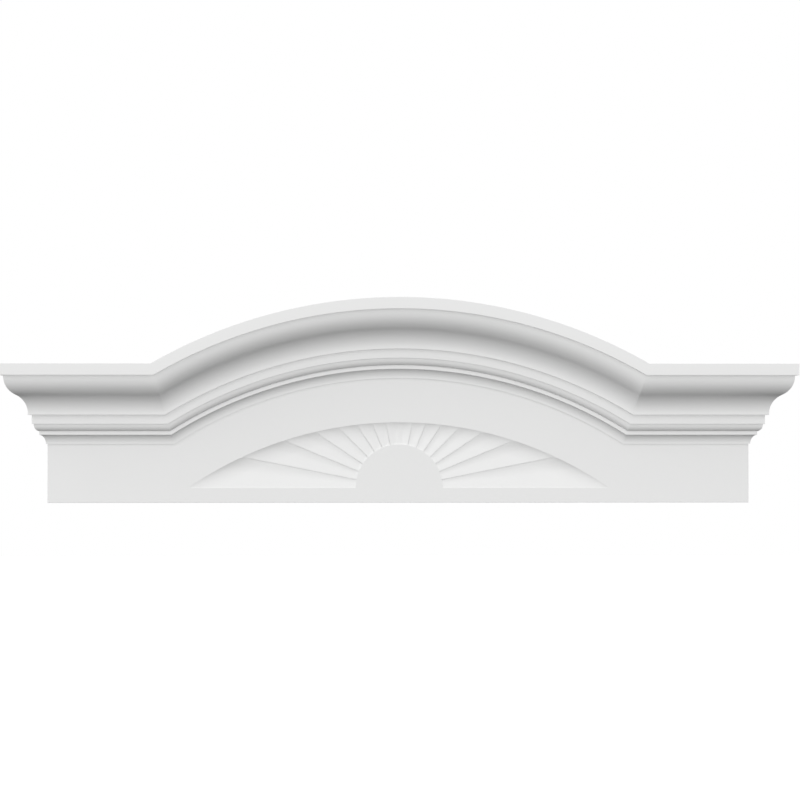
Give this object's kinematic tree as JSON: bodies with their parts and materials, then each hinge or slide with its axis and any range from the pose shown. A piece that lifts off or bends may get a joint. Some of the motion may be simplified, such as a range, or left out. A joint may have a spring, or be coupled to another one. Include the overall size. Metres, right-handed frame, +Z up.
{
  "type": "sunburst pediment",
  "caption": "White pediment for over a door or window: an arched cornice with level wings above a flat frieze with a routed half-round sunburst.",
  "frame": {"origin": "on the flat back, at mid width and 120 mm above the frieze board's bottom edge, where the back bears on the wall", "axes": "+X to the right as the front is seen, +Y into the wall, +Z up, front towards -Y"},
  "size_m": [1.28, 0.098, 0.3305],
  "materials": {
    "frieze": "smooth white expanded PVC sheet, routed",
    "cap": "smooth white expanded PVC sheet, sawn edges",
    "moulding": "smooth white expanded PVC, milled along its length"
  },
  "bodies": {
    "root": {"frieze_board": "frieze", "cap_left": "cap", "cap_arch": "cap", "cap_right": "cap", "crown_left": "moulding", "crown_arch": "moulding", "crown_right": "moulding", "crown_return_left": "moulding", "crown_return_right": "moulding", "bed_moulding_left": "moulding", "bed_moulding_arch": "moulding", "bed_moulding_right": "moulding", "bed_moulding_return_left": "moulding", "bed_moulding_return_right": "moulding"}
  },
  "joints": []
}
